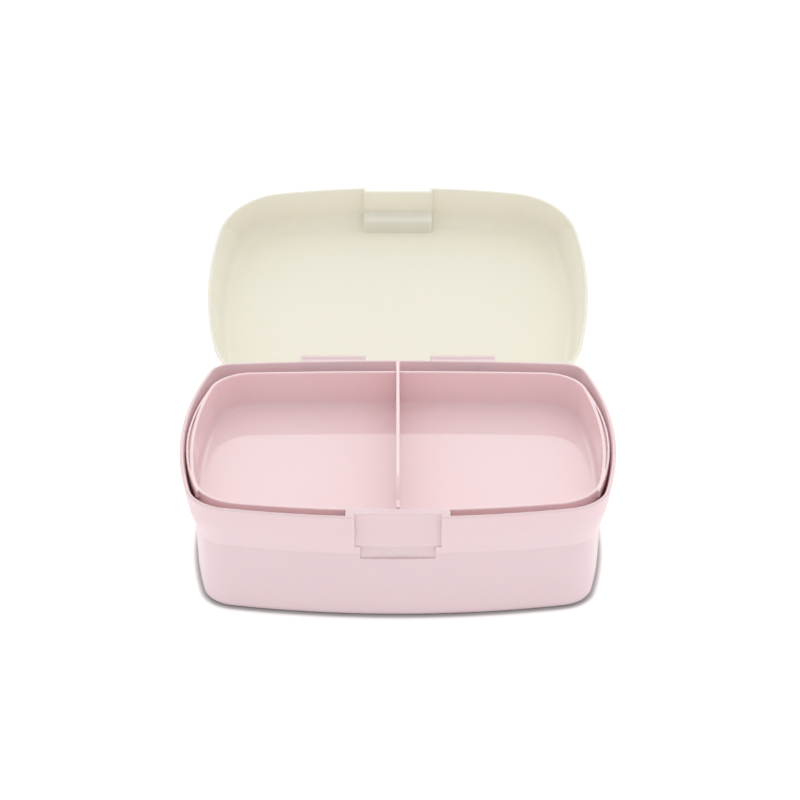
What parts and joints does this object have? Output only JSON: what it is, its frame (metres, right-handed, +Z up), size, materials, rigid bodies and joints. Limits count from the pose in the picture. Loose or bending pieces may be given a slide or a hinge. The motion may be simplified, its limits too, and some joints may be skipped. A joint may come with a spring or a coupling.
{
  "type": "lunch box",
  "caption": "Hinged snap-shut lunch box with bowed sides, a stepped base, a lift-out tray, a slot-in divider and a shallow domed lid.",
  "frame": {"origin": "middle of the base's flat underside", "axes": "+X to the right seen from the clasp side, +Y to the hinge side, +Z up"},
  "size_m": [0.1752, 0.2941, 0.0701],
  "materials": {
    "blush_shell": "moulded polypropylene, satin, pale blush pink",
    "blush_tray": "moulded polypropylene, satin, pale blush pink",
    "cream_shell": "moulded polypropylene, satin, warm cream"
  },
  "bodies": {
    "base": {"base": "blush_shell"},
    "tray": {"tray": "blush_tray"},
    "divider": {"divider": "blush_tray"},
    "lid": {"lid": "cream_shell", "hinge_pin_left": "cream_shell", "hinge_pin_right": "cream_shell", "clasp_pin": "cream_shell"},
    "clasp": {"clasp": "blush_shell"}
  },
  "joints": [
    {"name": "lid_hinge", "type": "hinge", "parent": "base", "child": "lid", "pos_m": [0, 0.0695, 0.0373], "axis": [-1, 0, 0], "range_deg": [-161, 0]},
    {"name": "clasp_hinge", "type": "hinge", "parent": "lid", "child": "clasp", "pos_m": [0, 0.20053, 0.0527], "axis": [-1, 0, 0], "range_deg": [-140, 0]},
    {"name": "tray_lift", "type": "slide", "parent": "base", "child": "tray", "axis": [0, 0, 1], "range_m": [0, 0.06]},
    {"name": "divider_lift", "type": "slide", "parent": "tray", "child": "divider", "axis": [0, 0, 1], "range_m": [0, 0.06]}
  ]
}
